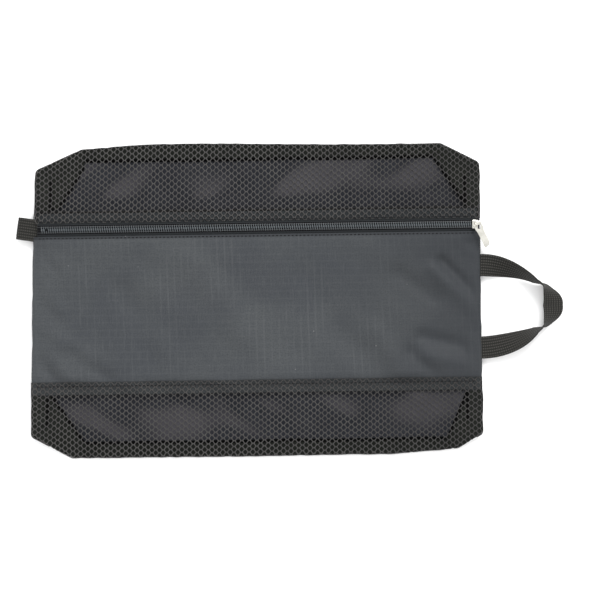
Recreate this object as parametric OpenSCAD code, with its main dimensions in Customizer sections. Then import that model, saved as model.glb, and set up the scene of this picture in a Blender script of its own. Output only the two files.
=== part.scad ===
// Shoe bag: a flat zipped pouch lying on its back, with mesh strips along both
// long edges, a coil zip across the front, a webbing handle at the right end
// and a folded webbing loop at the left end. Millimetres, +Z up. The origin is
// the middle of the back face.

/* [Bag] */
// Length from side seam to side seam
bag_l = 400; // [320:5:460]
// Width across the long edges
bag_w = 280; // [240:5:320]
// Thickness of the empty bag as it lies
bag_t = 12; // [11:1:20]
// Thickness of one layer of cloth
cloth_t = 0.8; // [0.6:0.1:1]
// Length of each boxed corner along the long edge
corner_l = 38; // [10:1:50]
// Length of each boxed corner along the side seam
corner_w = 22; // [8:1:30]

/* [Front seams] */
// Zip centre line above the middle of the bag
zip_y = 65.5; // [50:0.5:75]
// Free edge of the upper mesh above the middle
upper_mesh_y = 71.3; // [71:0.1:80]
// Folded top edge of the front panel above the middle
panel_top_y = 59.5; // [45:0.5:61]
// Upper edge of the lower mesh below the middle
lower_mesh_y = 71.2; // [50:0.1:90]
// Width of the mesh that returns onto the back
mesh_return = 12.5; // [8:0.5:20]

/* [Zip] */
// Width of both zip tapes together
tape_w = 34; // [28:1:36]
// Width of the closed coil chain
chain_w = 6.2; // [5:0.1:7]
// Length of the slider
slider_l = 8; // [7:0.5:10]
// Width of the slider
slider_w = 7.8; // [7.4:0.1:9]
// Length of the pull from its pivot to its tip
pull_l = 22.5; // [18:0.5:30]
// Width of the pull's plate
pull_w = 5.8; // [5:0.1:7]
// Direction the pull lies in, clockwise from +X
pull_turn = 64; // [60:1:70]
// Droop of the resting pull below level
pull_droop = 5; // [0:0.5:5]

/* [Webbing] */
// Width of the webbing
web_w = 20; // [18:1:22]
// Thickness of the webbing
web_t = 1.3; // [1:0.1:1.5]
// Reach of the handle's middle beyond the side seam
handle_reach = 65.4; // [55:0.2:80]
// Distance between the middles of the handle's two ends
handle_span = 74; // [60:1:90]
// Middle of the handle, below the middle of the bag
handle_drop = 8; // [0:0.5:12]
// Length of the folded side loop
loop_l = 15; // [12:0.5:20]

/* [Hidden] */

nylon = [0.33, 0.35, 0.37];
mesh_black = [0.16, 0.16, 0.17];
tape_black = [0.13, 0.14, 0.16];
web_black = [0.22, 0.22, 0.21];
thread_black = [0.09, 0.09, 0.1];
nickel = [0.88, 0.87, 0.84];

half_l = bag_l / 2;
half_w = bag_w / 2;
gap = 0.3;                           // clearance between cloth layers
eps = 0.01;
seam_gap = 0.1;                      // between two cloths that meet edge to edge

// Heights of the front's layers, from the top down
front_z = bag_t - cloth_t;           // underside of the front cloth
tape_t = 0.6;
tape_z = front_z - seam_gap - tape_t;    // underside of the zip tapes
coil_z = tape_z + tape_t;            // underside of the coils
coil_t = 1.4;
wall_top = front_z - gap;            // top of every wall below the front

// Width of the strip where mesh and nylon meet on the back
back_seam_y = half_w - mesh_return;
side_end_y = half_w - corner_w;
binding_w = 15;
binding_t = 0.6;
binding_z = cloth_t + seam_gap;
tuck = 0.2;                          // between a wall and the binding beside it
thread_w = 0.8;
thread_t = 0.3;

// Corner points of the bag's outline, moved inward by d on every side
corner_hyp = sqrt(corner_l * corner_l + corner_w * corner_w);
function side_y(d) = side_end_y - d * (corner_hyp - corner_w) / corner_l;
function edge_x(d) = half_l - corner_l - d * (corner_hyp - corner_l) / corner_w;
function outline(d) = [
    [half_l - d, -side_y(d)], [half_l - d, side_y(d)],
    [edge_x(d), half_w - d], [-edge_x(d), half_w - d],
    [-half_l + d, side_y(d)], [-half_l + d, -side_y(d)],
    [-edge_x(d), -half_w + d], [edge_x(d), -half_w + d]];

// A flat piece of the bag's outline between two Y values
module slab(y0, y1, z0, z1, inset) {
    translate([0, 0, z0]) linear_extrude(z1 - z0) intersection() {
        polygon(outline(inset));
        translate([-bag_l, y0]) square([2 * bag_l, y1 - y0]);
    }
}

// Upright wall along the outline between two Y values
module rim(y0, y1, z0, z1) {
    difference() {
        slab(y0, y1, z0, z1, 0);
        slab(y0 - 1, y1 + 1, z0 - 1, z1 + 1, cloth_t);
    }
}

// A strip along X, centred on the bag's middle
module strip(length, y0, y1, z0, thickness) {
    translate([-length / 2, y0, z0]) cube([length, y1 - y0, thickness]);
}

module back_panel() {
    lap = 0.5;                       // overlap that joins the floor to its walls
    lap_end = 1;                     // how far it stops short of the walls' ends
    color(nylon) union() {
        slab(-back_seam_y + seam_gap, back_seam_y - seam_gap, 0, cloth_t, cloth_t + seam_gap);
        rim(-side_end_y + seam_gap, side_end_y - seam_gap, 0, wall_top);
        for (side = [-1, 1])
            translate([side * (half_l - cloth_t) - lap, -side_end_y + lap_end, 0])
                cube([2 * lap, 2 * (side_end_y - lap_end), cloth_t]);
    }
}

module front_panel() {
    color(nylon) slab(-lower_mesh_y + seam_gap, panel_top_y, front_z, bag_t, 0);
}

module upper_mesh() {
    fold_gap = 0.4;                  // between the front part and the edge wall
    color(mesh_black) slab(upper_mesh_y, half_w - fold_gap, front_z, bag_t, 0);
}

// Mesh that turns round a long edge: edge wall, boxed corners, back strip
module mesh_turn(top) {
    union() {
        rim(side_end_y, half_w, 0, top);
        slab(back_seam_y, half_w - cloth_t + eps, 0, cloth_t, cloth_t - eps);
    }
}

module upper_mesh_gusset() {
    color(mesh_black) mesh_turn(wall_top);
}

module lower_mesh() {
    color(mesh_black) union() {
        mirror([0, 1, 0]) mesh_turn(front_z + eps);
        slab(-half_w, -lower_mesh_y, front_z, bag_t, 0);
    }
}

// Room for the slider's divider between the two halves of the zip
divider_in = 2.2;
divider_x = half_l - divider_in;
module divider_room() {
    room = 1.1;
    deep = 6;                        // more than the tapes and coils together
    translate([divider_x, zip_y, tape_z - 1]) cylinder(r = room, h = deep, $fn = 32);
    translate([divider_x, zip_y - room, tape_z - 1]) cube([deep, 2 * room, deep]);
}

half_gap = 0.2;
zip_end = half_l - cloth_t - gap;
module upper_zip_tape() {
    color(tape_black) difference() {
        strip(2 * zip_end, zip_y + half_gap, zip_y + tape_w / 2, tape_z, tape_t);
        divider_room();
    }
}

module lower_zip_tape() {
    color(tape_black) difference() {
        strip(2 * zip_end, zip_y - tape_w / 2, zip_y - half_gap, tape_z, tape_t);
        divider_room();
    }
}

module upper_coil() {
    color(tape_black) difference() {
        strip(2 * zip_end, zip_y + half_gap, zip_y + chain_w / 2, coil_z, coil_t);
        divider_room();
    }
}

module lower_coil() {
    color(tape_black) difference() {
        strip(2 * zip_end, zip_y - chain_w / 2, zip_y - half_gap, coil_z, coil_t);
        divider_room();
    }
}

// Slider: two plates joined by a divider, side flanges and a crown on top
slider_out = 1.5;                    // reach of the closed slider past the seam
slider_x0 = half_l + slider_out - slider_l;
plate_t = 1;
plate_gap = 0.4;                     // between the coils and the upper plate
top_plate_z = coil_z + coil_t + plate_gap;
low_plate_z = tape_z - gap - plate_t;
crown_half_l = 2.75;                 // half length of the crown, along the zip
crown_leg = 0.6;                     // width of each of its two legs
crown_w = 1.2;
pivot_x = slider_x0 + slider_l / 2;
pivot_up = 1.25;                     // pivot above the upper plate
bar_up = 0.75;                       // crown's bar above the pivot
pivot_z = top_plate_z + plate_t + pivot_up;
crown_z = pivot_z + bar_up;          // underside of the crown's bar
crown_t = 0.9;
rim_r = 0.45;                        // pull's pivot bar, under the crown

module slider_body() {
    flange_t = 0.5;
    divider_r = 0.75;
    color(nickel) union() {
        translate([slider_x0, zip_y - slider_w / 2, top_plate_z])
            cube([slider_l, slider_w, plate_t]);
        for (side = [-1, 1])
            translate([slider_x0, zip_y + side * (slider_w - flange_t) / 2 - flange_t / 2,
                       coil_z + gap])
                cube([slider_l, flange_t, top_plate_z - coil_z - gap + eps]);
        translate([slider_x0 + gap, zip_y - slider_w / 2, low_plate_z])
            cube([half_l - cloth_t - gap - slider_x0 - gap, slider_w, plate_t]);
        translate([divider_x, zip_y, low_plate_z])
            cylinder(r = divider_r, h = top_plate_z - low_plate_z + plate_t / 2, $fn = 32);
        for (side = [-1, 1])
            translate([pivot_x + side * (crown_half_l - crown_leg / 2) - crown_leg / 2,
                       zip_y - crown_leg / 2, top_plate_z + plate_t / 2])
                cube([crown_leg, crown_leg, crown_z - top_plate_z]);
        translate([pivot_x - crown_half_l, zip_y - crown_w / 2, crown_z])
            cube([2 * crown_half_l, crown_w, crown_t]);
    }
}

// Pull: an eye whose far bar runs under the crown, and a plate with a cut tip
module pull_tab() {
    eye_half = 3.2;                  // middle of each of the eye's two arms
    eye_l = 4.6;                     // from the pivot to the end of the hole
    arm_w = 1;
    arm_lap = 0.5;                   // how far the arms run into the plate
    plate_half = pull_w / 2;
    shoulder = 7.5;                  // where the plate reaches its own width
    tip_cut = 2.5;
    pull_t = 1.3;
    color(nickel) translate([pivot_x, zip_y, pivot_z])
        rotate([0, 0, -pull_turn]) rotate([0, pull_droop, 0]) union() {
            rotate([90, 0, 0])
                cylinder(r = rim_r, h = 2 * eye_half + arm_w, center = true, $fn = 32);
            for (side = [-1, 1])
                translate([0, side * eye_half - arm_w / 2, -rim_r])
                    cube([eye_l + arm_lap, arm_w, 2 * rim_r]);
            translate([0, 0, -pull_t / 2]) linear_extrude(pull_t)
                polygon([[eye_l, -eye_half - arm_w / 2], [shoulder, -plate_half],
                         [pull_l - tip_cut, -plate_half], [pull_l, -plate_half / 2],
                         [pull_l, plate_half / 2], [pull_l - tip_cut, plate_half],
                         [shoulder, plate_half], [eye_l, eye_half + arm_w / 2]]);
        }
}

// Handle: webbing swept along half of a rounded loop. It leaves the seam flat,
// turns up steadily until it stands on edge, and at its far end its upper edge
// leans in over the loop. turn is 0 and 180 at the sewn ends, 90 at the far end.
handle_z = bag_t / 2;
handle_x0 = half_l + 1;
rings = 48;
function fold(turn) = min(turn, 180 - turn);
function ease(t) = let (c = max(0, min(1, t))) c * c * (3 - 2 * c);
stand_turn = 56;                     // where the webbing stands on edge
far_bank = 160;                      // bank at the far end; on edge is 90
function past_stand(turn) = sin(90 * max(0, fold(turn) - stand_turn) / (90 - stand_turn));
flat_turn = 5;                       // the webbing stays flat up to here, clear of the wall
function bank(turn) =
    90 * max(0, min(1, (fold(turn) - flat_turn) / (stand_turn - flat_turn)))
    + (far_bank - 90) * past_stand(turn);
stand_rise = 5.5;
far_drop = 5.5;
function lift(turn) = handle_z + stand_rise * ease(fold(turn) / stand_turn)
    - far_drop * past_stand(turn);
function side_of(turn) = turn < 90 ? 1 : -1;
reach_power = 1.11;                  // these two make the loop a little pointed
span_power = 1.18;
function route(turn) = [
    handle_x0 + (handle_reach - 1) * pow(sin(turn), reach_power),
    -handle_drop + side_of(turn) * handle_span / 2 * pow(abs(cos(turn)), span_power),
    lift(turn)];
turn_step = 0.5;                     // step for finding the direction of the route
function unit(v) = v / norm(v);
function heading(turn) = turn < turn_step ? [1, 0, 0] : turn > 180 - turn_step ? [-1, 0, 0]
    : unit(route(turn + turn_step) - route(turn - turn_step));
tip_turn = 12;                       // turn past the stand where the width lies along X
function tip_share(turn) = ease((fold(turn) - stand_turn) / tip_turn);
function outward(turn) = let (h = heading(turn), t = tip_share(turn))
    unit([-h[1] * (1 - t) + t, h[0] * (1 - t), 0]);
function width_way(turn) = outward(turn) * cos(bank(turn)) + [0, 0, sin(bank(turn))];
function ring(turn) = let (
    c = route(turn), w = width_way(turn) * web_w / 2,
    n = unit(cross(heading(turn), width_way(turn))) * web_t / 2)
    [c - w - n, c + w - n, c + w + n, c - w + n];

module handle_webbing() {
    points = [for (i = [0 : rings]) each ring(180 * i / rings)];
    sides = [for (i = [0 : rings - 1], k = [0 : 3]) let (
                a = 4 * i + k, b = 4 * i + (k + 1) % 4, c = b + 4, d = a + 4)
                each [[a, b, c], [a, c, d]]];
    last = 4 * rings;
    caps = [[3, 2, 1], [3, 1, 0], [last, last + 1, last + 2], [last, last + 2, last + 3]];
    color(web_black) polyhedron(points, concat(sides, caps), convexity = 6);
}

// Side loop: webbing folded back on itself, its round fold at the far end
module loop_webbing() {
    fold_r = 1 + web_t;
    start = 1.9;                     // where the two layers meet, beyond the seam
    neck = 4;                        // where they reach their full spread
    half_split = 0.05;               // half the gap between the two layers
    join = 0.1;
    color(web_black) translate([-half_l, zip_y + web_w / 2, handle_z])
        rotate([90, 0, 0]) union() {
            linear_extrude(web_w) difference() {
                translate([-loop_l + fold_r, 0]) circle(r = fold_r, $fn = 48);
                translate([-loop_l + fold_r, 0]) circle(r = fold_r - web_t, $fn = 48);
                translate([-loop_l + fold_r, -fold_r]) square([fold_r, 2 * fold_r]);
            }
            for (side = [-1, 1]) linear_extrude(web_w) polygon([
                [-loop_l + fold_r - join, side * fold_r], [-neck, side * fold_r],
                [-start, side * (web_t + half_split)], [-start, side * half_split],
                [-neck, side * (fold_r - web_t)],
                [-loop_l + fold_r - join, side * (fold_r - web_t)]]);
        }
}

// Bindings inside the bag, over the raw edges of the side and back seams
binding_short = 16;                  // how far each end stops short of the corner
module side_binding(side) {
    inner = half_l - cloth_t - tuck;
    translate([side * (inner - binding_w / 2) - binding_w / 2, -side_end_y + binding_short,
               binding_z])
        cube([binding_w, 2 * (side_end_y - binding_short), binding_t]);
}

module left_side_binding() {
    color(tape_black) side_binding(-1);
}

module right_side_binding() {
    color(tape_black) side_binding(1);
}

corner_gap = 4;                      // from the boxed corner to the binding's end
back_binding_l = 2 * (half_l - corner_l - corner_gap);
back_binding_y = half_w - cloth_t - 2 * tuck;
cover = 0.5;                         // how far the binding passes the seam line
module upper_back_binding() {
    color(tape_black)
        strip(back_binding_l, back_seam_y - cover, back_binding_y, binding_z, binding_t);
}

module lower_back_binding() {
    color(tape_black)
        strip(back_binding_l, -back_binding_y, -back_seam_y + cover, binding_z, binding_t);
}

// Rows of sewing thread, each lying just clear of the cloth under it
top_row_l = bag_l - 4;
thread_gap = 0.05;
top_row_z = bag_t + thread_gap;
mesh_row = 1;                        // from the upper mesh's edge to its row
fold_row = 1.3;                      // from the front panel's fold to its row
seam_row = 3.3;                      // from the lower mesh's edge to its row
module upper_zip_stitch() {
    color(thread_black)
        strip(top_row_l, upper_mesh_y + mesh_row, upper_mesh_y + mesh_row + thread_w,
              top_row_z, thread_t);
}

module lower_zip_stitch() {
    color(thread_black)
        strip(top_row_l, panel_top_y - fold_row - thread_w, panel_top_y - fold_row,
              top_row_z, thread_t);
}

module mesh_seam_stitch() {
    color(thread_black)
        strip(top_row_l, -lower_mesh_y - seam_row - thread_w, -lower_mesh_y - seam_row,
              top_row_z, thread_t);
}

row_z = binding_z + binding_t + thread_gap;
back_row = 3;                        // from the back seam to its row
module upper_back_stitch() {
    color(thread_black)
        strip(back_binding_l - 2, back_seam_y + back_row, back_seam_y + back_row + thread_w,
              row_z, thread_t);
}

module lower_back_stitch() {
    color(thread_black)
        strip(back_binding_l - 2, -back_seam_y - back_row - thread_w, -back_seam_y - back_row,
              row_z, thread_t);
}

side_row_in = 4;                     // from the binding's outer edge to its row
side_row_x = half_l - cloth_t - tuck - side_row_in;
side_row_end = side_end_y - binding_short - 1;
module side_row(side) {
    translate([side * side_row_x - thread_w / 2, -side_row_end, row_z])
        cube([thread_w, 2 * side_row_end, thread_t]);
}

module left_side_stitch() {
    color(thread_black) side_row(-1);
}

module right_side_stitch() {
    color(thread_black) side_row(1);
}

// Dense thread blocks that lock the sewn ends of the webbing
bartack_w = 2;
bartack_in = 3;                      // from the side row to the bartack's middle
module bartack(x, y) {
    translate([x - bartack_w / 2, y - web_w / 2 + 1, row_z])
        cube([bartack_w, web_w - 2, thread_t]);
}

module handle_bartacks() {
    color(thread_black) for (side = [-1, 1])
        bartack(side_row_x - bartack_in, -handle_drop + side * handle_span / 2);
}

module loop_bartack() {
    color(thread_black) bartack(-side_row_x + bartack_in, zip_y);
}

back_panel();
front_panel();
upper_mesh();
upper_mesh_gusset();
lower_mesh();
upper_zip_tape();
lower_zip_tape();
upper_coil();
lower_coil();
slider_body();
pull_tab();
handle_webbing();
loop_webbing();
left_side_binding();
right_side_binding();
upper_back_binding();
lower_back_binding();
upper_zip_stitch();
lower_zip_stitch();
mesh_seam_stitch();
upper_back_stitch();
lower_back_stitch();
left_side_stitch();
right_side_stitch();
handle_bartacks();
loop_bartack();
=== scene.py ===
import math

import bpy
import numpy as np
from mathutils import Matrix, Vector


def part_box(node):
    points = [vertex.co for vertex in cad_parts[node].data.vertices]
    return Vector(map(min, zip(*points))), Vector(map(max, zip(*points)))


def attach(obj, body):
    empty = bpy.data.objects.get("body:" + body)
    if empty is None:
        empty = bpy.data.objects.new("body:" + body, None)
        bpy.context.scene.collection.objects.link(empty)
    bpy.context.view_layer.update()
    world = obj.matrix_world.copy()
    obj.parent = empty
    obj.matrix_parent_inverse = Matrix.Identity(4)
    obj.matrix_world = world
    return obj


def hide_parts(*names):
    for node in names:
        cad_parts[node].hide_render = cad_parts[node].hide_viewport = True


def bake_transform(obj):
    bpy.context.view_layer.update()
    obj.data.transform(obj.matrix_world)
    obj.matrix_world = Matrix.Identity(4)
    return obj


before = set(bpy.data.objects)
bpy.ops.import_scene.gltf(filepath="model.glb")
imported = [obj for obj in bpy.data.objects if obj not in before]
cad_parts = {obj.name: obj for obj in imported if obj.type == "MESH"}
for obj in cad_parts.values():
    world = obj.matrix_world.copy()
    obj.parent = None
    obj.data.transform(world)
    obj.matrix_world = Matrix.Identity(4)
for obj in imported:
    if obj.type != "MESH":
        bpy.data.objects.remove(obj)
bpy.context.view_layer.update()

# Lengths below are millimetres in the CAD frame. Meshes are written in metres.
MM = 0.001


def box_mm(node):
    """Lowest and highest corner of a CAD node, in millimetres."""
    low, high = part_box(node)
    return np.array(low) / MM, np.array(high) / MM


# ---- Sizes, most of them read from the CAD -----------------------------------
HALF_L = box_mm("front_panel")[1][0]
PANEL_TOP_Y = box_mm("front_panel")[1][1]
UPPER_MESH_Y = box_mm("upper_mesh")[0][1]
LOWER_MESH_Y = box_mm("front_panel")[0][1]
FRONT_Z = box_mm("front_panel")[1][2]
UPPER_TAPE_Y = box_mm("upper_zip_tape")[1][1]
LOWER_TAPE_Y = box_mm("lower_zip_tape")[0][1]
ZIP_Y = (UPPER_TAPE_Y + LOWER_TAPE_Y) / 2
BACK_SEAM_Y = box_mm("upper_back_binding")[0][1]
SLIDER_LOW, SLIDER_HIGH = box_mm("slider_body")
LOOP_LOW, LOOP_HIGH = box_mm("loop_webbing")
SIDE_BINDING_IN = abs(box_mm("left_side_binding")[1][0])
WEB_W, WEB_T = LOOP_HIGH[1] - LOOP_LOW[1], 1.3    # the webbing
RIBS, WEFT_PITCH = 8, 1.9    # the webbing's ribs, and the length between its cross threads

# ---- The pouch's shape -------------------------------------------------------
# Outline corners of the cloth as it lies, before the lean and the bow below
CORNERS = np.array([
    (199.8, -121.5), (199.8, 119.5), (166.0, 136.0), (-159.5, 135.4), (-199.4, 118.5),
    (-200.7, 40.0), (-199.8, -118.5), (-164.0, -136.6), (118.0, -137.4), (178.0, -133.4)])
UPPER_EDGE_Y, LOWER_EDGE_Y = 135.7, 137.0    # where the long edges' folds start
CORNER_ROUND = 3.5
LEFT_LEAN = 3.4              # how far the left seam leans, end to end of its half
TOP_BOW, LOWER_BOW = 3.9, 0.7    # swell of the long edges, left of their middle
BOW_FROM, BOW_RISE = -172, 80    # the upper bow starts here and rises over this length
BOW_TOP, BOW_FALL, BOW_LOSS = -75, 185, 0.72    # from here it falls, by this share of itself
CORNER_X = 162.0             # where the boxed corners start
FOLD_Z, FOLD_R = 2.5, 2.1    # middle height and radius of the long edges' folds
SEAM_Z, SEAM_R = 6.0, 1.2    # the same for the side seams
LOOP_SWELL = 0.75            # how much fuller the left seam is where the side loop goes in
LOOP_ROOM_X, LOOP_ROOM_HALF = -185.0, 11.0    # where it is fuller, about the zip line
ZIP_TOP = FRONT_Z - 0.5      # top of the cloth beside the zip
# Height of the front cloth at each Y, away from its edges
LEVELS = np.array([
    (-139, 4.6), (-126, 4.3), (-110, 3.6), (-97, 3.9), (-86, 5.6), (-71, 7.4),
    (-40, 7.2), (0, 7.6), (30, 9.2), (48, 11.1), (56, ZIP_TOP), (75, ZIP_TOP),
    (80, 10.6), (86, 8.2), (94, 5.0), (106, 3.7), (122, 4.2), (139, 4.6)])
# Folds pressed into the front panel: start, end, width, and height, which CREASE_DEPTH scales
CREASE_DEPTH = 1.6
CREASES = (
    ((166, 34), (201, -1), 4.6, -2.4), ((157, 26), (200, -16), 6.0, 1.9),
    ((183, 55), (201, 42), 3.0, -1.6), ((176, 55), (200, 34), 3.6, 1.2),
    ((128, 22), (160, 0), 8.0, -1.7), ((148, -34), (190, -44), 6.0, -1.8),
    ((138, -48), (160, -70), 6.0, -1.5), ((150, -52), (196, -62), 7.0, 1.5),
    ((108, -30), (130, -70), 9.0, 1.2), ((-196, -52), (-180, -71), 5.0, -2.0),
    ((-190, -40), (-166, -70), 5.5, 1.3), ((-166, -44), (-132, -70), 7.0, -1.8),
    ((-196, -20), (-150, -52), 8.0, 1.3), ((-198, 20), (-176, -6), 6.0, 1.1),
    ((40, 20), (92, -44), 12.0, -1.2), ((-60, 40), (-10, -30), 14.0, 1.1),
    ((-198, 50), (-182, 30), 4.0, -1.1), ((-120, 10), (-90, -60), 11.0, -0.9))
# Slack in the front cloth. A swell's height, width of a bump and seed; a set of bands' height,
# turn in degrees, length, width and seed
NYLON_SWELL, NYLON_BANDS = (1.3, 58, 11), (0.7, -38, 58, 17, 12)
MESH_SWELL = (0.8, 26, 23)
UPPER_BANDS, LOWER_BANDS = (3.0, 34, 62, 17, 21), (3.0, -30, 55, 15, 22)
SEAM_PUCKER = (0.55, 7.5, 31)    # a swell beside the side seams
BACK_Z, BACK_SWELL, BACK_BANDS = 0.85, (0.3, 48, 41), (0.12, 40, 50, 13, 42)    # the back cloth
PUCKER, FRILL = (0.45, 9, 51), (0.3, 6.5, 52)    # how the side seams and long edges waver
LEAST_Z, SOFT_Z = 1.9, 0.5   # the front cloth comes down on the back one, softly
WEB_ROOM_Z = 7.0             # its least height over the handle's sewn-in ends
EDGE_REACH, ZIP_END_REACH = 15, 2.4    # how soon the front cloth rises from the edge
ZIP_CALM, ZIP_TAUT = 15, 22  # how far from the zip line the zip holds the cloth up, and taut
LEAST_WAVE = 0.62            # the back cloth's least height


def ease(t):
    """A smooth step from 0 to 1."""
    t = np.clip(t, 0.0, 1.0)
    return t * t * (3 - 2 * t)


def within(value, half, soft):
    """1 while value is no more than half from 0, then easing to 0 over soft."""
    return 1 - ease((np.abs(value) - half) / soft)


def unit(vectors):
    """The same vectors with length 1."""
    return vectors / np.linalg.norm(vectors, axis=-1, keepdims=True)


def outward(edges):
    """Unit normals that point out of an outline's edges."""
    return unit(np.stack([edges[..., 1], -edges[..., 0]], -1))


def moved_in(corners, by):
    """An outline's corners after each of its edges has moved inward."""
    before = outward(corners - np.roll(corners, 1, 0))
    after = outward(np.roll(corners, -1, 0) - corners)
    share = 1 + np.sum(before * after, 1, keepdims=True)
    return corners - by * (before + after) / share


def running_length(line):
    """Length along a line of points, up to each of them."""
    return np.concatenate([[0], np.cumsum(np.linalg.norm(np.diff(line, axis=0), axis=1))])


def widened(values, columns):
    """A grid with each value repeated along its row."""
    return np.repeat(np.asarray(values, float)[:, None], columns, 1)


TABLE = 97                   # cells of the random field each way, before it repeats


def field(x, y, cell, seed):
    """A smooth random field from -1 to 1, with bumps about one cell wide."""
    table = np.random.default_rng(seed).uniform(-1, 1, (TABLE, TABLE))
    gx, gy = np.asarray(x) / cell + TABLE // 2, np.asarray(y) / cell + TABLE // 2
    i, j = np.floor(gx).astype(int), np.floor(gy).astype(int)
    fx, fy = ease(gx - i), ease(gy - j)

    def at(a, b):
        return table[a % TABLE, b % TABLE]

    low = at(i, j) * (1 - fx) + at(i + 1, j) * fx
    high = at(i, j + 1) * (1 - fx) + at(i + 1, j + 1) * fx
    return low * (1 - fy) + high * fy


def swell(x, y, height, cell, seed):
    """The field at a height of its own."""
    return height * field(x, y, cell, seed)


def bands(x, y, height, turn, along, across, seed):
    """The same field stretched into bands that run at turn degrees from X."""
    c, s = math.cos(math.radians(turn)), math.sin(math.radians(turn))
    return height * field((x * c + y * s) / along, (-x * s + y * c) / across, 1.0, seed)


INNER = moved_in(CORNERS, CORNER_ROUND)


def edge_frame(x, y):
    """How far each point lies beyond the outline, the nearest outline point, and the way out."""
    q = np.stack(np.broadcast_arrays(x, y), -1).astype(float)
    best = np.full(q.shape[:-1], 1e9)
    near = np.zeros(q.shape)
    outside = np.zeros(q.shape[:-1], bool)
    for a, b in zip(INNER, np.roll(INNER, -1, 0)):
        d = b - a
        t = np.clip(((q - a) @ d) / (d @ d), 0, 1)
        c = a + t[..., None] * d
        distance = np.linalg.norm(q - c, axis=-1)
        closer = distance < best
        best = np.where(closer, distance, best)
        near = np.where(closer[..., None], c, near)
        outside |= ((q - a) @ outward(d)) > 0
    way = (q - near) / np.maximum(best, 1e-9)[..., None]
    way = np.where(outside[..., None], way, -way)
    beyond = np.where(outside, best, -best) - CORNER_ROUND
    return beyond, near + way * CORNER_ROUND, way


def side_share(foot):
    """0 along the long edges, 1 along the side seams."""
    return ease((np.abs(foot[..., 0]) - CORNER_X) / (HALF_L - CORNER_X))


def rim(foot):
    """Middle height and radius of the cloth's turned edge, fuller round the side loop."""
    side = side_share(foot)
    at_loop = ease((LOOP_ROOM_X - foot[..., 0]) / 10) \
        * within(foot[..., 1] - ZIP_Y, LOOP_ROOM_HALF, 5.0)
    radius = FOLD_R + (SEAM_R - FOLD_R) * side + LOOP_SWELL * at_loop
    return FOLD_Z + (SEAM_Z - FOLD_Z) * side, radius


# The levels at each millimetre of Y, rounded off by a blur
LEVEL_Y = np.arange(-145.0, 146.0)
BLUR_REACH, BLUR_WIDTH = 12, 3.5
BLUR = np.exp(-0.5 * (np.arange(-BLUR_REACH, BLUR_REACH + 1) / BLUR_WIDTH) ** 2)
LEVEL_Z = np.convolve(np.pad(np.interp(LEVEL_Y, LEVELS[:, 0], LEVELS[:, 1]), BLUR_REACH, "edge"),
                      BLUR / BLUR.sum(), "valid")


def unrest(x, y):
    """Slack in the front cloth: broad swells, slanted bands in the mesh, creases, seam pucker."""
    nylon = ease((PANEL_TOP_Y + 4 - y) / 12) * ease((y - LOWER_MESH_Y + 6) / 12)
    z = nylon * (swell(x, y, *NYLON_SWELL) + bands(x, y, *NYLON_BANDS))
    for start, end, width, height in CREASES:
        a, d = np.array(start, float), np.array(end, float) - np.array(start, float)
        t = np.clip(((x - a[0]) * d[0] + (y - a[1]) * d[1]) / (d @ d), 0, 1)
        off = np.hypot(x - a[0] - t * d[0], y - a[1] - t * d[1])
        z = z + nylon * CREASE_DEPTH * height * np.exp(-(off / width) ** 2)
    across = np.where(y > 0, bands(x, y, *UPPER_BANDS), bands(x, y, *LOWER_BANDS))
    z = z + (1 - nylon) * (across + swell(x, y, *MESH_SWELL))
    side = np.exp(-((HALF_L - np.abs(x)) / 14) ** 2)
    return z + side * swell(x * 0 + np.sign(x) * 50, y, *SEAM_PUCKER)


def over_webbing(x, y):
    """1 where the front cloth lies over the handle's sewn-in ends, 0 away from them."""
    from_leg = np.abs(y + HANDLE_DROP) - HANDLE_SPAN / 2
    return ease((x - 181.0) / 9.0) * within(from_leg, WEB_W / 2 - 0.5, 7.0)


def front_height(x, y, beyond, foot):
    """Height of the front cloth: level by its distance from the edge, with its slack."""
    middle, radius = rim(foot)
    near_zip = np.exp(-(((y - ZIP_Y) / ZIP_CALM) ** 2) ** 2)
    at_end = ease((np.abs(x) - 120) / 50)
    reach = EDGE_REACH + (ZIP_END_REACH - EDGE_REACH) * near_zip * at_end
    rise = 1 - np.exp(-(np.maximum(-beyond, 0) / reach) ** 1.25)
    top = np.interp(y, LEVEL_Y, LEVEL_Z)
    slack = 1 - np.exp(-((y - ZIP_Y) / ZIP_TAUT) ** 4)
    edge = middle + radius
    height = edge + (top - edge) * rise + unrest(x, y) * rise * slack
    least = LEAST_Z + (WEB_ROOM_Z - LEAST_Z) * over_webbing(x, y)
    return least + np.logaddexp(0, (height - least) / SOFT_Z) * SOFT_Z


def back_height(x, y, beyond, foot):
    """Height of the back cloth: near the ground, rising to the turned edge."""
    middle, radius = rim(foot)
    fall = np.exp(-(np.maximum(-beyond, 0) / (5 + 9 * side_share(foot))) ** 1.5)
    wave = BACK_Z + swell(x, y, *BACK_SWELL) + bands(x, y, *BACK_BANDS)
    return np.maximum(wave, LEAST_WAVE) * (1 - fall) + (middle - radius) * fall


def settle(x, y):
    """The lean of the left seam and the bow of the long edges, applied to flat positions."""
    bow = TOP_BOW * ease((x - BOW_FROM) / BOW_RISE) \
        * (1 - BOW_LOSS * ease((x - BOW_TOP) / BOW_FALL))
    low = LOWER_BOW * ease((90 - x) / 120)
    lift = np.where(y > 0, bow, -low) * ease((np.abs(y) - 78) / 60)
    lean = LEFT_LEAN * (y / 117) * (HALF_L - x) / (2 * HALF_L)
    pucker = swell(np.sign(x) * 60.0, y, *PUCKER) * ease((np.abs(x) - 185) / 15)
    frill = swell(x, np.sign(y) * 60.0, *FRILL) * ease((np.abs(y) - 128) / 10)
    return np.stack([x + lean + pucker, y + lift + frill], -1)


def unsettled(x, y):
    """Flat positions that settle() brings to the given ones, as separate X and Y."""
    x, y = np.broadcast_arrays(np.asarray(x, float), np.asarray(y, float))
    moved = settle(x, y)
    return 2 * x - moved[..., 0], 2 * y - moved[..., 1]


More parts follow.
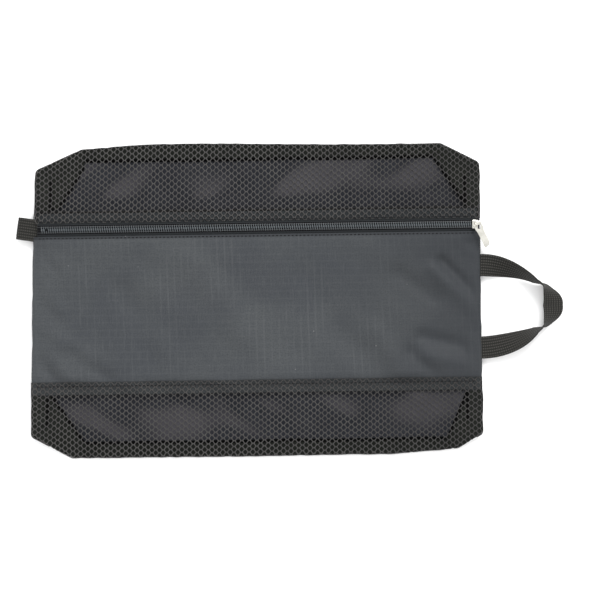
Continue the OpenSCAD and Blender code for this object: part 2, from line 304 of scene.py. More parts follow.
def place(x, y, side=1, lift=0.0):
    """Flat cloth positions as points on the pouch's front (side 1) or back (side -1) surface.
    Cloth past the outline turns round its edge. lift moves points along the normal."""
    x, y = np.broadcast_arrays(np.asarray(x, float), np.asarray(y, float))
    height = front_height if side > 0 else back_height
    beyond, foot, way = edge_frame(x, y)
    middle, radius = rim(foot)
    over = np.clip(beyond, 0, radius * math.pi / 2)
    turn = over / radius
    inside = (beyond < 0)[..., None]
    flat = np.where(inside, np.stack([x, y], -1), foot + way * (radius * np.sin(turn))[..., None])
    z = np.where(beyond < 0, height(x, y, beyond, foot), middle + side * radius * np.cos(turn))
    step = 0.4
    ex, ey = edge_frame(x + step, y), edge_frame(x, y + step)
    here = height(x, y, beyond, foot)
    slope_x = (height(x + step, y, *ex[:2]) - here) / step
    slope_y = (height(x, y + step, *ey[:2]) - here) / step
    up = unit(np.stack([-slope_x, -slope_y, np.ones_like(z)], -1) * side)
    out = np.concatenate([way * np.sin(turn)[..., None], (side * np.cos(turn))[..., None]], -1)
    normal = np.where(inside, up, out)
    return np.concatenate([settle(flat[..., 0], flat[..., 1]), z[..., None]], -1) \
        + normal * np.asarray(lift, float)[..., None]


BAG_HALF_MOST, HALVINGS = 210.0, 30    # the search for the outline starts this wide


def seam_reach(along, sign, across=False):
    """X of the outline at each Y, on the side that sign names, or with across its Y at each X."""
    low, high = np.zeros_like(along), np.full_like(along, BAG_HALF_MOST)
    for _ in range(HALVINGS):
        mid = (low + high) / 2
        out = (edge_frame(along, sign * mid) if across else edge_frame(sign * mid, along))[0] > 0
        high, low = np.where(out, mid, high), np.where(out, low, mid)
    return sign * low


# ---- Materials ---------------------------------------------------------------
class Shader:
    """A small builder for one procedural material, whose tone is laid down in layers."""

    def __init__(self, name, roughness, metallic=0.0, sheen=0.0, specular=0.5):
        self.material = bpy.data.materials.new(name)
        self.material.use_nodes = True
        self.tree = self.material.node_tree
        self.bsdf = self.tree.nodes["Principled BSDF"]
        self.bsdf.inputs["Roughness"].default_value = roughness
        self.bsdf.inputs["Metallic"].default_value = metallic
        self.bsdf.inputs["Sheen Weight"].default_value = sheen
        self.bsdf.inputs["Specular IOR Level"].default_value = specular

    def link(self, socket, target):
        self.tree.links.new(socket, target)

    def node(self, kind, values=(), **settings):
        made = self.tree.nodes.new(kind)
        for key, value in settings.items():
            setattr(made, key, value)
        for key, value in dict(values).items():
            if isinstance(value, bpy.types.NodeSocket):
                self.link(value, made.inputs[key])
            else:
                made.inputs[key].default_value = value
        return made

    def cloth(self):
        """The cloth vector stored on each mesh, and its parts: X and Y on the flat cloth in
        millimetres, and Z, a gap, a distance from an edge or a mark."""
        vector = self.node("ShaderNodeAttribute", attribute_name="cloth").outputs["Vector"]
        return (vector, *self.node("ShaderNodeSeparateXYZ", {0: vector}).outputs)

    def stretch(self, vector, x, y, z=1.0):
        return self.node("ShaderNodeVectorMath", {0: vector, 1: (x, y, z)},
                         operation="MULTIPLY").outputs[0]

    def noise(self, vector, detail, x, y, z=1.0):
        """Noise with x, y and z blots to the unit along each axis."""
        return self.node("ShaderNodeTexNoise", {"Vector": self.stretch(vector, x, y, z),
                         "Scale": 1.0, "Detail": detail, "Roughness": 0.5}).outputs["Fac"]

    def math(self, operation, a, b=0.0):
        return self.node("ShaderNodeMath", {0: a, 1: b}, operation=operation).outputs[0]

    def times(self, a, b):
        return self.math("MULTIPLY", a, b)

    def plus(self, a, b):
        return self.math("ADD", a, b)

    def band(self, value, low, high, start=0.0, end=1.0):
        """value mapped smoothly from low..high to start..end."""
        return self.node("ShaderNodeMapRange", {"Value": value, "From Min": low,
                         "From Max": high, "To Min": start, "To Max": end},
                         interpolation_type="SMOOTHSTEP").outputs[0]

    def layer(self, share, colour, under=None):
        """Lays a colour by share over the tone so far, or over a first colour."""
        below = (*under, 1.0) if under else self.tone
        made = self.node("ShaderNodeMix", {0: share, 6: below, 7: (*colour, 1.0)},
                         data_type="RGBA")
        self.tone = made.outputs[2]

    def ticks(self, value, pitch, sharp=1.0):
        """A row of rounded lines across value, pitch apart, from 0 to 1."""
        wave = self.math("SINE", self.times(value, 2 * math.pi / pitch))
        return self.math("POWER", self.band(wave, -1.0, 1.0), sharp)

    def finish(self, bump, depth, rough=None):
        """The material with its tone, a bump of this depth in millimetres, and its roughness."""
        self.link(self.tone, self.bsdf.inputs["Base Color"])
        if rough is not None:
            self.link(rough, self.bsdf.inputs["Roughness"])
        made = self.node("ShaderNodeBump", {"Height": bump, "Strength": 1.0,
                         "Distance": depth * MM})
        self.link(made.outputs["Normal"], self.bsdf.inputs["Normal"])
        return self.material


GRID_PITCH, GRID_SHARP = 6.6, 22.0    # the ripstop nylon's grid
# A dark tone laid on the nylon as painted shade
SHADE_TONE = (0.016, 0.018, 0.021)


def nylon_material():
    """Ripstop nylon: uneven yarns, a faint grid, pale specks, painted sheen in broad patches, and
    painted shade by the rolled hem, under the mesh and to the right.
    """
    s = Shader("ripstop_nylon", 0.6, sheen=0.03, specular=0.2)
    cloth, x, y, _ = s.cloth()
    sway = s.times(s.noise(cloth, 2.0, 0.02, 0.006), 5.0)
    warp_x = s.plus(x, s.plus(sway, s.times(y, 0.035)))
    lines = s.ticks(warp_x, GRID_PITCH, GRID_SHARP)
    faded = s.band(s.noise(cloth, 3.0, 0.03, 0.012), 0.42, 0.68)
    broad, yarn_x, yarn_y, grain = (s.noise(cloth, *size) for size in (
        (3.0, 0.012, 0.012), (2.0, 1.9, 0.09), (2.0, 0.09, 1.9), (1.0, 0.7, 0.7)))
    specks = s.node("ShaderNodeTexVoronoi", {"Vector": s.stretch(cloth, 0.085, 0.075),
                    "Scale": 1.0, "Randomness": 1.0}, feature="F1").outputs["Distance"]
    picked = s.band(s.noise(cloth, 2.0, 0.011, 0.011), 0.46, 0.60)
    # Broad lighter and darker patches: painted sheen
    s.layer(s.band(broad, 0.35, 0.65), (0.0415, 0.0455, 0.0485), (0.0285, 0.032, 0.037))
    for share, colour in (
            (s.times(s.band(yarn_x, 0.35, 0.75), 0.45), (0.058, 0.061, 0.064)),
            (s.times(s.band(yarn_y, 0.4, 0.75), 0.45), (0.024, 0.027, 0.032)),
            (s.band(grain, 0.42, 0.68, 0.0, 0.45), (0.022, 0.025, 0.029)),
            (s.times(s.times(lines, faded), 0.22), (0.075, 0.079, 0.082)),
            (s.times(s.ticks(y, GRID_PITCH, GRID_SHARP), 0.12), (0.060, 0.063, 0.066)),
            # Painted shade, darker towards the right
            (s.band(x, 20.0, 210.0, 0.0, 0.62), SHADE_TONE),
            # Painted shade along the rolled hem beside the zip
            (s.band(y, PANEL_TOP_Y - 2.9, PANEL_TOP_Y - 2.2, 0.0, 0.85), SHADE_TONE),
            # Painted shade on the nylon under the lower mesh's edge
            (s.band(y, LOWER_MESH_Y + 0.6, LOWER_MESH_Y - 0.4, 0.0, 0.75), (0.016, 0.018, 0.019)),
            (s.times(s.band(specks, 0.05, 0.02), picked), (0.13, 0.13, 0.13))):
        s.layer(share, colour)
    weave = s.times(s.ticks(x, 0.42), s.ticks(y, 0.42))
    return s.finish(s.plus(s.times(weave, 0.6), s.times(lines, 0.5)), 0.05)


def lining_material():
    """The nylon's inner face, a darker copy of the nylon as painted shade inside the bag, paler
    where it lies against the mesh and the painted shade thins.
    """
    s = Shader("nylon_inside_painted_shade", 0.7, specular=0.1)
    cloth, x, y, gap = s.cloth()
    # Painted shade: the inner face is a darker copy of the nylon
    s.layer(s.band(s.noise(cloth, 3.0, 0.03, 0.03, 0.0), 0.3, 0.7), (0.023, 0.024, 0.029),
            (0.015, 0.016, 0.020))
    # Painted light: paler where the gap to the front cloth is small
    s.layer(s.band(gap, 3.4, 1.4, 0.0, 0.85), (0.052, 0.050, 0.056))
    return s.finish(s.times(s.ticks(x, 0.5), s.ticks(y, 0.5)), 0.05)


def yarn_material(name, dark, light, roughness, right_shade=0.0):
    """Spun or knitted thread: fine slanted strands with uneven tone, and painted shade towards the
    right by right_shade.
    """
    s = Shader(name, roughness, sheen=0.04, specular=0.12)
    cloth, x, y, _ = s.cloth()
    strand = s.ticks(s.plus(x, s.times(y, 0.6)), 0.5)
    fuzz = s.noise(cloth, 2.0, 1.3, 1.3)
    s.layer(s.band(s.noise(cloth, 3.0, 0.05, 0.05), 0.3, 0.7), light, dark)
    s.layer(s.times(s.band(fuzz, 0.35, 0.75), 0.45), [1.6 * c for c in light])
    s.layer(s.times(strand, 0.25), [0.5 * c for c in dark])
    if right_shade:
        # Painted shade, darker towards the right
        s.layer(s.band(x, 0.0, 190.0, 0.0, right_shade), [0.3 * c for c in dark])
    return s.finish(s.plus(strand, fuzz), 0.06)


def tape_material():
    """The zip's tape: fine cords, painted near black as shade under and beside the coil, and near
    black along its far edge.
    """
    s = Shader("zip_tape_weave", 0.7, sheen=0.04, specular=0.12)
    cloth, x, y, _ = s.cloth()
    cords, weft = s.ticks(y, 1.15), s.ticks(x, 0.7)
    away = s.math("ABSOLUTE", s.math("SUBTRACT", y, ZIP_Y))
    s.layer(s.noise(cloth, 3.0, 0.06, 0.4), (0.018, 0.020, 0.022), (0.011, 0.013, 0.014))
    s.layer(s.times(cords, 0.35), (0.013, 0.015, 0.017))
    # Painted shade: near black under and just beside the coil
    s.layer(s.band(away, 4.3, 3.8), (0.002, 0.002, 0.003))
    s.layer(s.band(away, 14.6, 15.2), (0.001, 0.001, 0.001))
    return s.finish(s.plus(cords, s.times(weft, 0.5)), 0.09)


def coil_material():
    """Scuffed filament; where the tooth mark is 0, which is on the cord, it is painted near black
    as the shade inside the coil.
    """
    s = Shader("coil_monofilament", 0.38, specular=0.5)
    cloth, _, _, tooth = s.cloth()
    scuff = s.noise(cloth, 2.0, 3.0, 3.0)
    s.layer(s.noise(cloth, 2.0, 0.1, 1.0, 0.0), (0.088, 0.100, 0.108), (0.050, 0.059, 0.065))
    # Painted shade: the cord inside the coil near black
    s.layer(s.band(tooth, 0.9, 0.1), (0.008, 0.009, 0.010))
    return s.finish(scuff, 0.03, s.band(scuff, 0.3, 0.7, 0.3, 0.5))


def nickel_material():
    """Plated metal, a little rubbed."""
    s = Shader("nickel_plate", 0.24, metallic=1.0)
    metres = s.node("ShaderNodeTexCoord").outputs["Object"]
    rub = s.noise(metres, 3.0, 180.0, 180.0, 180.0)
    fine = s.noise(metres, 2.0, 2500.0, 2500.0, 2500.0)
    s.layer(s.band(rub, 0.3, 0.75), (0.66, 0.65, 0.60), (0.56, 0.55, 0.505))
    return s.finish(fine, 0.002, s.band(rub, 0.25, 0.75, 0.20, 0.32))


def webbing_material():
    """Webbing: near-black ground, with a painted highlight on the knuckle where each rib crosses
    the weft.
    """
    s = Shader("woven_webbing", 0.75, sheen=0.05, specular=0.12)
    cloth, x, y, _ = s.cloth()
    weft, warp = s.ticks(x, WEFT_PITCH, 1.3), s.ticks(y, 0.55)
    rib = s.ticks(s.math("SUBTRACT", y, WEB_W / RIBS / 4), WEB_W / RIBS, 1.4)
    fuzz = s.noise(cloth, 3.0, 1.2, 1.2)
    s.layer(s.noise(cloth, 3.0, 0.05, 0.5), (0.011, 0.011, 0.010), (0.006, 0.006, 0.005))
    # Painted highlight on each knuckle
    s.layer(s.times(rib, s.band(weft, 0.15, 0.75, 0.08, 1.0)), (0.047, 0.045, 0.041))
    s.layer(s.times(s.band(fuzz, 0.45, 0.8), 0.2), (0.050, 0.048, 0.044))
    return s.finish(s.plus(s.times(warp, 0.4), s.plus(weft, fuzz)), 0.12)


def flap_material():
    """The folded-in corner cloth, painted near black along its free edge as shade."""
    s = Shader("corner_cloth", 0.8, specular=0.06)
    cloth, x, y, edge = s.cloth()
    s.layer(s.noise(cloth, 3.0, 0.08, 0.08, 0.0), (0.015, 0.016, 0.014), (0.008, 0.009, 0.008))
    # Painted shade: near black along the free edge
    s.layer(s.band(edge, 3.2, 2.4), (0.0006, 0.0006, 0.0006))
    return s.finish(s.times(s.ticks(x, 0.8), s.ticks(y, 0.8)), 0.08)


MATERIALS = {
    "nylon": nylon_material(),
    "nylon_inside": lining_material(),
    "mesh": yarn_material("knitted_mesh", (0.046, 0.044, 0.044), (0.061, 0.059, 0.057), 0.75,
                          right_shade=0.32),
    "zip_tape": tape_material(),
    "coil": coil_material(),
    "nickel": nickel_material(),
    "webbing": webbing_material(),
    "binding": flap_material(),
    "thread": yarn_material("sewing_thread", (0.003, 0.003, 0.004), (0.007, 0.007, 0.008), 0.7),
}


# ---- Mesh helpers ------------------------------------------------------------
def make_piece(name, slot, points, faces, cloth, nodes, body=None, smooth=True):
    """A mesh from points in millimetres, with its flat-cloth coordinates stored on it."""
    mesh = bpy.data.meshes.new(name)
    mesh.from_pydata((np.asarray(points) * MM).tolist(), [],
                     [list(map(int, f)) for f in faces])
    mesh.validate()
    mesh.polygons.foreach_set("use_smooth", [smooth] * len(mesh.polygons))
    stored = mesh.attributes.new("cloth", "FLOAT_VECTOR", "POINT")
    stored.data.foreach_set("vector", np.asarray(cloth, np.float32).ravel())
    mesh.materials.append(MATERIALS[slot])
    piece = bpy.data.objects.new(name, mesh)
    bpy.context.scene.collection.objects.link(piece)
    if nodes:
        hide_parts(*nodes)
    if body:
        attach(piece, body)
    return piece


def grid_faces(rows, columns, start=0, wrap=False):
    """Four-sided faces over a grid of points, closed round its columns with wrap."""
    i, j = np.meshgrid(np.arange(rows - 1), np.arange(columns if wrap else columns - 1),
                       indexing="ij")
    a = start + i * columns + j
    b = start + i * columns + (j + 1) % columns
    return np.stack([a, b, b + columns, a + columns], -1).reshape(-1, 4)


def grid_cloth(x, y, third=0.0):
    """Cloth coordinates for a grid of flat positions."""
    return np.stack([x, y, third + 0 * x], -1).reshape(-1, 3)


def twice(values):
    """Values for a sheet's top and again for its underside."""
    return np.concatenate([values, values])


def shell(top, under):
    """A closed sheet from two grids of points, its faces outward."""
    rows, columns = top.shape[:2]
    count = rows * columns
    faces = [grid_faces(rows, columns), grid_faces(rows, columns, count)[:, ::-1]]
    index = np.arange(count).reshape(rows, columns)
    ring = np.concatenate([index[0, :-1], index[:-1, -1], index[-1, :0:-1], index[:0:-1, 0]])
    after = np.roll(ring, -1)
    faces.append(np.stack([after, ring, ring + count, after + count], -1))
    return np.concatenate([top.reshape(-1, 3), under.reshape(-1, 3)]), np.concatenate(faces)


def join(parts):
    """Several (points, faces, cloth) lists as one."""
    points, faces, cloth, start = [], [], [], 0
    for p, f, c in parts:
        points.append(p)
        cloth.append(c)
        faces.extend([int(k) + start for k in face] for face in f)
        start += len(p)
    return np.concatenate(points), faces, np.concatenate(cloth)


def solid(rings):
    """Rings of points as a closed solid, in the form that join() takes."""
    rows, columns = rings.shape[:2]
    faces = [list(f) for f in grid_faces(rows, columns, wrap=True)]
    faces += [list(range(columns))[::-1], [(rows - 1) * columns + k for k in range(columns)]]
    points = rings.reshape(-1, 3)
    return points, faces, points


def tube(path, radius, sides, up=(0.0, 0.0, 1.0)):
    """A round solid along a path."""
    way = unit(np.gradient(path, axis=0))
    across = np.cross(way, np.broadcast_to(up, way.shape))
    across /= np.maximum(np.linalg.norm(across, axis=1, keepdims=True), 1e-9)
    over = np.cross(across, way)
    turn = 2 * math.pi * np.arange(sides) / sides
    radius = np.broadcast_to(radius, (len(path),))[:, None, None]
    return solid(path[:, None] + radius * (np.cos(turn)[None, :, None] * across[:, None]
                                           + np.sin(turn)[None, :, None] * over[:, None]))


# ---- Shares of the zip's opening ---------------------------------------------
LIP_END = 183.2              # the zip's lips part between these two ends
# Where each lip's bend starts and ends, in metres
FOLDED_Y = 137.0             # the upper lip's share starts from here
BACK_Y = 200.0               # stands for the back, which has no share


def opening_share(x):
    """How far each point along the zip parts, 0 at the closed ends."""
    return np.clip(1 - (np.asarray(x) / LIP_END) ** 2, 0, 1) ** 1.3


def bend_with(piece, share):
    """Bakes the piece's placement into its mesh; share is not used."""
    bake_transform(piece)


def upper_share(x, y):
    """How far the upper mesh follows its lip: most beside the zip, nothing at the fold."""
    return opening_share(x) * ease((FOLDED_Y - y) / 34)


def lower_share(x, y):
    """How far the front nylon follows its lip: most beside the zip, nothing at its lower seam."""
    return opening_share(x) * ease((y - LOWER_MESH_Y - 1.0) / 40)


# ---- Nylon panels ------------------------------------------------------------
NYLON_T = 0.3
SEAM_TUCK = 1.6              # how far the cloth goes on round the side seams
HEM_R, HEM_W = 0.42, 9       # radius and width of the hem rolled under beside the zip


def spanning(rows_y, columns, side, lifts):
    """A cloth that spans the bag from seam to seam: its flat positions, top and underside."""
    right = seam_reach(rows_y, 1) + SEAM_TUCK
    left = seam_reach(rows_y, -1) - SEAM_TUCK
    s = np.linspace(0, 1, columns)
    x = left[:, None] + (right - left)[:, None] * s[None]
    y, lifts = widened(rows_y, columns), widened(lifts, columns)
    return x, y, place(x, y, side, lifts), place(x, y, side, lifts - NYLON_T)


ALLOWANCE_Y = -83.3          # lower edge of the front nylon, behind the mesh
FOLD_ROW, MESH_ROW, HEM_ROW = 1.7, 1.4, 3.7    # stitch rows, from the edge they hold


def front_panel():
    """The front nylon: its top edge rolled under beside the zip, its lower edge behind the mesh."""
    columns = 201
    flat_rows = np.linspace(LOWER_MESH_Y - 1, PANEL_TOP_Y - HEM_R, 58)
    hidden_rows = np.linspace(ALLOWANCE_Y, LOWER_MESH_Y - 2, 7)
    turn = np.linspace(0, math.pi, 7)[1:]
    roll_y = PANEL_TOP_Y - HEM_R + HEM_R * np.sin(turn)
    roll_lift = -HEM_R + HEM_R * np.cos(turn)
    under_y = np.linspace(PANEL_TOP_Y - HEM_R - 1, PANEL_TOP_Y - HEM_W, 5)
    rows = np.concatenate([hidden_rows, flat_rows, roll_y, under_y])
    lifts = np.concatenate([np.full(len(hidden_rows), -0.75),
                            np.linspace(-0.6, 0, 3), np.zeros(len(flat_rows) - 3),
                            roll_lift, np.full(len(under_y), -2 * HEM_R - 0.03)])
    stitched = 0.24 * np.exp(-((rows - (PANEL_TOP_Y - FOLD_ROW)) / 0.7) ** 2)
    lifts = lifts - np.where(lifts > -0.01, stitched, 0)
    x, y, top, _ = spanning(rows, columns, 1, lifts)
    # The rolled edge turns over, so its underside lies on the other side of the cloth
    rolled = np.concatenate([np.zeros(len(hidden_rows) + len(flat_rows)), turn / math.pi,
                             np.ones(len(under_y))])
    aside, thick = (NYLON_T * way(math.pi * rolled) for way in (np.sin, np.cos))
    under = top - np.stack([0 * x, widened(aside, columns), widened(thick, columns)], -1)
    flat_y = running_length(np.stack([rows, lifts], -1)) + rows[0]
    piece = make_piece("front_panel_nylon", "nylon", *shell(top, under),
                       twice(grid_cloth(x, widened(flat_y, columns))), ["front_panel"])
    bend_with(piece, twice(lower_share(x, y).ravel()))
    return piece


def back_panel():
    """The back nylon. Its inner face keeps its distance from the front cloth as cloth Z, which sets
    that face's painted shade.
    """
    rows = np.linspace(-BACK_SEAM_Y - 0.4, BACK_SEAM_Y + 0.4, 104)
    x, y, top, under = spanning(rows, 181, -1, np.zeros(len(rows)))
    gap = front_height(x, y, *edge_frame(x, y)[:2]) - under[..., 2]
    piece = make_piece("back_panel_nylon", "nylon", *shell(under, top),
                       np.concatenate([grid_cloth(x, y, gap), grid_cloth(x, y)]),
                       ["back_panel"], "bag")
    # The inner face takes the nylon's painted-shade copy
    piece.data.materials.append(MATERIALS["nylon_inside"])
    index = np.zeros(len(piece.data.polygons), np.int32)
    index[:(len(rows) - 1) * (x.shape[1] - 1)] = 1
    piece.data.polygons.foreach_set("material_index", index)
    return piece


# ---- Knitted mesh ------------------------------------------------------------
HOLE_X, HOLE_Y = 6.7, 5.1    # spacing of the mesh's holes, rows offset by half
YARN_HALF = 0.34             # half the width of the yarn between two holes
HOLE_ROUND = 0.90            # the holes' corners lie at this share of their distance
YARN_RISE, YARN_RIM, YARN_UNDER = 0.30, -0.05, -0.28    # heights of its ridge, sides and foot
YARN_PAST = 0.6              # a hole's middle may lie this far past the cloth's edges
HOLE_COLUMNS = 33            # on each side of the middle
UNEVEN_X, UNEVEN_Y = (0.55, 23, 61), (0.5, 19, 62)    # swells that pull the mesh about


def cell_outline():
    """Corners and edge middles of the hexagon round one hole."""
    slope = (HOLE_X ** 2 + HOLE_Y ** 2) / 8
    tip = slope / (HOLE_X / 2)
    shoulder = (slope - HOLE_Y / 2 * HOLE_Y / 2) / (HOLE_X / 2)
    corners = np.array([(tip, 0), (shoulder, HOLE_Y / 2), (-shoulder, HOLE_Y / 2), (-tip, 0),
                        (-shoulder, -HOLE_Y / 2), (shoulder, -HOLE_Y / 2)])
    middles = (corners + np.roll(corners, -1, 0)) / 2
    return np.stack([corners, middles], 1).reshape(-1, 2)


def hole_outline(shape):
    """The hexagon moved in by half the yarn, with its corners rounded off."""
    moved = moved_in(shape[::2], YARN_HALF)
    middles = (moved + np.roll(moved, -1, 0)) / 2
    return np.stack([moved * HOLE_ROUND, middles], 1).reshape(-1, 2)


def mesh_cloth(name, sign, start, long_edge, back_end, nodes):
    """One mesh strip: from its edge on the front, round the long edge, onto the back."""
    around = math.pi * FOLD_R
    half_way = long_edge + around / 2
    last = long_edge + around + (long_edge - back_end)
    columns = np.arange(-HOLE_COLUMNS, HOLE_COLUMNS + 1)
    rows = np.arange(int(start / (HOLE_Y / 2)) - 1, int(last / (HOLE_Y / 2)) + 3)
    i, j = np.meshgrid(columns, rows, indexing="ij")
    centre = np.stack([i * HOLE_X + (j % 2) * HOLE_X / 2, j * HOLE_Y / 2], -1).reshape(-1, 2)

    def on_bag(flat):
        """Front or back, and the flat position there, for developed cloth positions."""
        front = flat[..., 1] <= half_way
        y = np.where(front, flat[..., 1], 2 * long_edge + around - flat[..., 1])
        return front, flat[..., 0], sign * y

    front, cx, cy = on_bag(centre)
    beyond, foot, _ = edge_frame(cx, cy)
    limit = rim(foot)[1] * math.pi / 2 + YARN_PAST
    kept = (beyond < limit) & (centre[:, 1] > start - YARN_PAST) \
        & (centre[:, 1] < last + YARN_PAST)
    centre, front = centre[kept], front[kept]

    shape = cell_outline()
    ridge = (centre[:, None] + shape[None]).reshape(-1, 2)
    hole_flat = (centre[:, None] + hole_outline(shape)[None]).reshape(-1, 2)
    hole_front = np.repeat(front, len(shape))

    # Neighbouring cells share the yarn's ridge, above and below. A key for each place, at
    # 0.02 mm, finds the points that coincide
    keys = np.round(ridge * 50).astype(np.int64)
    keys = keys[:, 0] * 1000003 + keys[:, 1] * 2 + hole_front.astype(np.int64)
    _, first, cell = np.unique(keys, return_index=True, return_inverse=True)
    cell = cell.reshape(-1, len(shape))
    ridge_flat, ridge_front = ridge[first], hole_front[first]

    def laid(flat, is_front, lift):
        """Cloth positions laid on the bag, a little uneven, and the positions to bend by."""
        x = flat[:, 0] + swell(flat[:, 0], flat[:, 1], *UNEVEN_X)
        pull_y = swell(flat[:, 0], flat[:, 1], *UNEVEN_Y)
        w = np.clip(flat[:, 1] + pull_y * ease((flat[:, 1] - start) / 8), start, last)
        w = np.where(is_front, np.minimum(w, half_way), np.maximum(w, half_way))
        y = sign * np.where(is_front, w, 2 * long_edge + around - w)
        points = np.where(is_front[:, None], place(x, y, 1, lift), place(x, y, -1, lift))
        return points, x, np.where(is_front, w, BACK_Y)

    top, ridge_x, ridge_y = laid(ridge_flat, ridge_front, YARN_RISE)
    bottom = laid(ridge_flat, ridge_front, YARN_UNDER)[0]
    sides, hole_x, hole_y = laid(hole_flat, hole_front, YARN_RIM)
    ridges = len(ridge_flat)
    after = np.roll(cell, -1, 1)
    mouth = 2 * ridges + np.arange(cell.size).reshape(cell.shape)
    mouth_after = np.roll(mouth, -1, 1)
    upper = np.stack([cell, after, mouth_after, mouth], -1)
    lower = np.stack([after + ridges, cell + ridges, mouth, mouth_after], -1)
    # Close the cut edges of the cloth, where a cell has no neighbour
    pair = np.stack([cell, after], -1).reshape(-1, 2)
    ordered = np.sort(pair, 1)
    _, where, times = np.unique(ordered[:, 0] * ridges + ordered[:, 1], return_inverse=True,
                                return_counts=True)
    open_pair = pair[times[where.ravel()] == 1]
    border = np.stack([open_pair[:, 1], open_pair[:, 0], open_pair[:, 0] + ridges,
                       open_pair[:, 1] + ridges], -1)
    faces = np.concatenate([upper.reshape(-1, 4), lower.reshape(-1, 4), border])
    # Cells on the back face the other way, and so does a mirrored strip
    flipped = np.where(np.concatenate([ridge_front, ridge_front, hole_front])[faces[:, 0]],
                       1, -1) * sign
    faces = np.where(flipped[:, None] > 0, faces, faces[:, ::-1])
    cloth = np.concatenate([ridge_flat, ridge_flat, hole_flat])
    piece = make_piece(name, "mesh", np.concatenate([top, bottom, sides]), faces,
                       grid_cloth(cloth[:, 0], cloth[:, 1]), nodes)
    return (piece, np.concatenate([ridge_x, ridge_x, hole_x]),
            np.concatenate([ridge_y, ridge_y, hole_y]))


# ---- Layers seen through the mesh --------------------------------------------
def between(x, y, share, lift=0.0):
    """Points between the back cloth (share 0) and the front cloth (share 1)."""
    rolled = ease(edge_frame(x, y)[0])
    low = place(x, y, -1, -0.5 + 0.15 * rolled)
    high = place(x, y, 1, -0.7 + 0.35 * rolled)
    point = low + (high - low) * np.asarray(share)[..., None]
    point[..., 2] += lift
    return point


def inner_sheet(name, x, y, share, thickness, nodes, edge):
    """A hidden layer as a closed sheet over a grid of flat positions. edge is each position's
    distance from the layer's free edge."""
    points, faces = shell(between(x, y, share, thickness / 2),
                          between(x, y, share, -thickness / 2))
    down = (x[1, 0] - x[0, 0], y[1, 0] - y[0, 0])
    along = (x[0, 1] - x[0, 0], y[0, 1] - y[0, 0])
    if down[0] * along[1] - down[1] * along[0] > 0:
        faces = faces[:, ::-1]
    make_piece(name, "binding", points, faces, twice(grid_cloth(x, y, edge)), nodes, "bag")


# Free edges of the bindings as they lie
BACK_EDGE_Y = {1: 126.1, -1: 124.8}
SIDE_EDGE_IN = {1: 2.6, -1: 1.4}     # how much narrower than the CAD's they lie


def bindings():
    """Seam bindings inside the bag, each painted near black along its free edge as shade."""
    columns, into_fold, thickness = 10, math.pi / 2 * FOLD_R - 0.2, 0.5
    for name, sign in (("upper_back", 1), ("lower_back", -1)):
        t = np.linspace(-176, 180, 170)
        _, free = unsettled(t, sign * BACK_EDGE_Y[sign] + 0.5 * field(t, 0 * t, 30, 71))
        outer = seam_reach(t, sign, across=True) + sign * into_fold
        s = np.linspace(0, 1, columns)[None]
        y = free[:, None] * (1 - s) + outer[:, None] * s
        share = np.repeat(0.35 - 0.15 * np.sin(math.pi * s), len(t), 0)
        inner_sheet(name + "_binding_tape", widened(t, columns), y, share, thickness,
                    [name + "_binding"], np.abs(y - free[:, None]))
    for name, sign in (("left", -1), ("right", 1)):
        t = np.linspace(-110, 110, 110)
        narrow = SIDE_BINDING_IN + SIDE_EDGE_IN[sign]
        offset = np.linspace(0, HALF_L - 0.6 - narrow, columns)
        y = widened(t, columns)
        x = sign * (narrow + offset[None] + 0 * y)
        share = widened(0.4 + 0.47 * ease((np.abs(t) - 79) / 6), columns)
        inner_sheet(name + "_side_binding_tape", x, y, share, thickness,
                    [name + "_side_binding"], offset[None] + 0 * y)


# Folded-in boxed corners as they lie: their diagonal edge, then three points beside the seam
FLAPS = {
    "upper_left": ((-175.5, 85), (-153.8, 120), (-199, 84), (-199, 122), (-154, 142)),
    "upper_right": ((186.5, 84.7), (160, 125), (202, 84), (203, 124), (160, 142)),
    "lower_left": ((-185.5, -82), (-156.6, -124.5), (-204, -82), (-206, -125), (-158, -142)),
    "lower_right": ((186.3, -84.5), (170.2, -121.9), (202, -84), (203, -127), (170, -141)),
}


def corner_flaps():
    """The corners' folded-in cloth, from its diagonal edge to the seam."""
    for name, (low, high, *seam_points) in FLAPS.items():
        t = np.linspace(0, 1, 30)
        inside = np.array(low, float) + (np.array(high, float) - low) * t[:, None]
        seam_points = np.array(seam_points, float)
        knots = running_length(seam_points)
        seam = np.stack([np.interp(t, knots / knots[-1], seam_points[:, k]) for k in (0, 1)], -1)
        s = np.linspace(0, 1, 14)[None, :, None]
        flat = inside[:, None] * (1 - s) + seam[:, None] * s
        gone = np.linalg.norm(flat - inside[:, None], axis=-1)
        level = 0.72 - 0.2 * s[..., 0] + 0.1 * np.sin(5 * t)[:, None]
        inner_sheet("corner_fold_" + name, *unsettled(flat[..., 0], flat[..., 1]), level, 0.4,
                    (), gone)


# ---- Sewing thread -----------------------------------------------------------
DASH, DASH_GAP, THREAD_R = 2.0, 1.5, 0.42    # a stitch's length, gap and radius
STITCH_SHAPE = np.array([0.6, 1, 1.05, 1, 0.6])    # its thickness along its length
STITCH_DIP = 0.35            # how far its ends go down into the cloth
PROUD, SUNK = 0.62, 0.04     # a row's lift above mesh and above the pressed nylon
OVERLOCK = (0.55, 2.6, 0.5)  # radius, stitch length and gap of the front nylon's overlocked edge
LONG_ROW, BACK_ROW, SIDE_ROW = 197, 158, 100    # half lengths of the rows


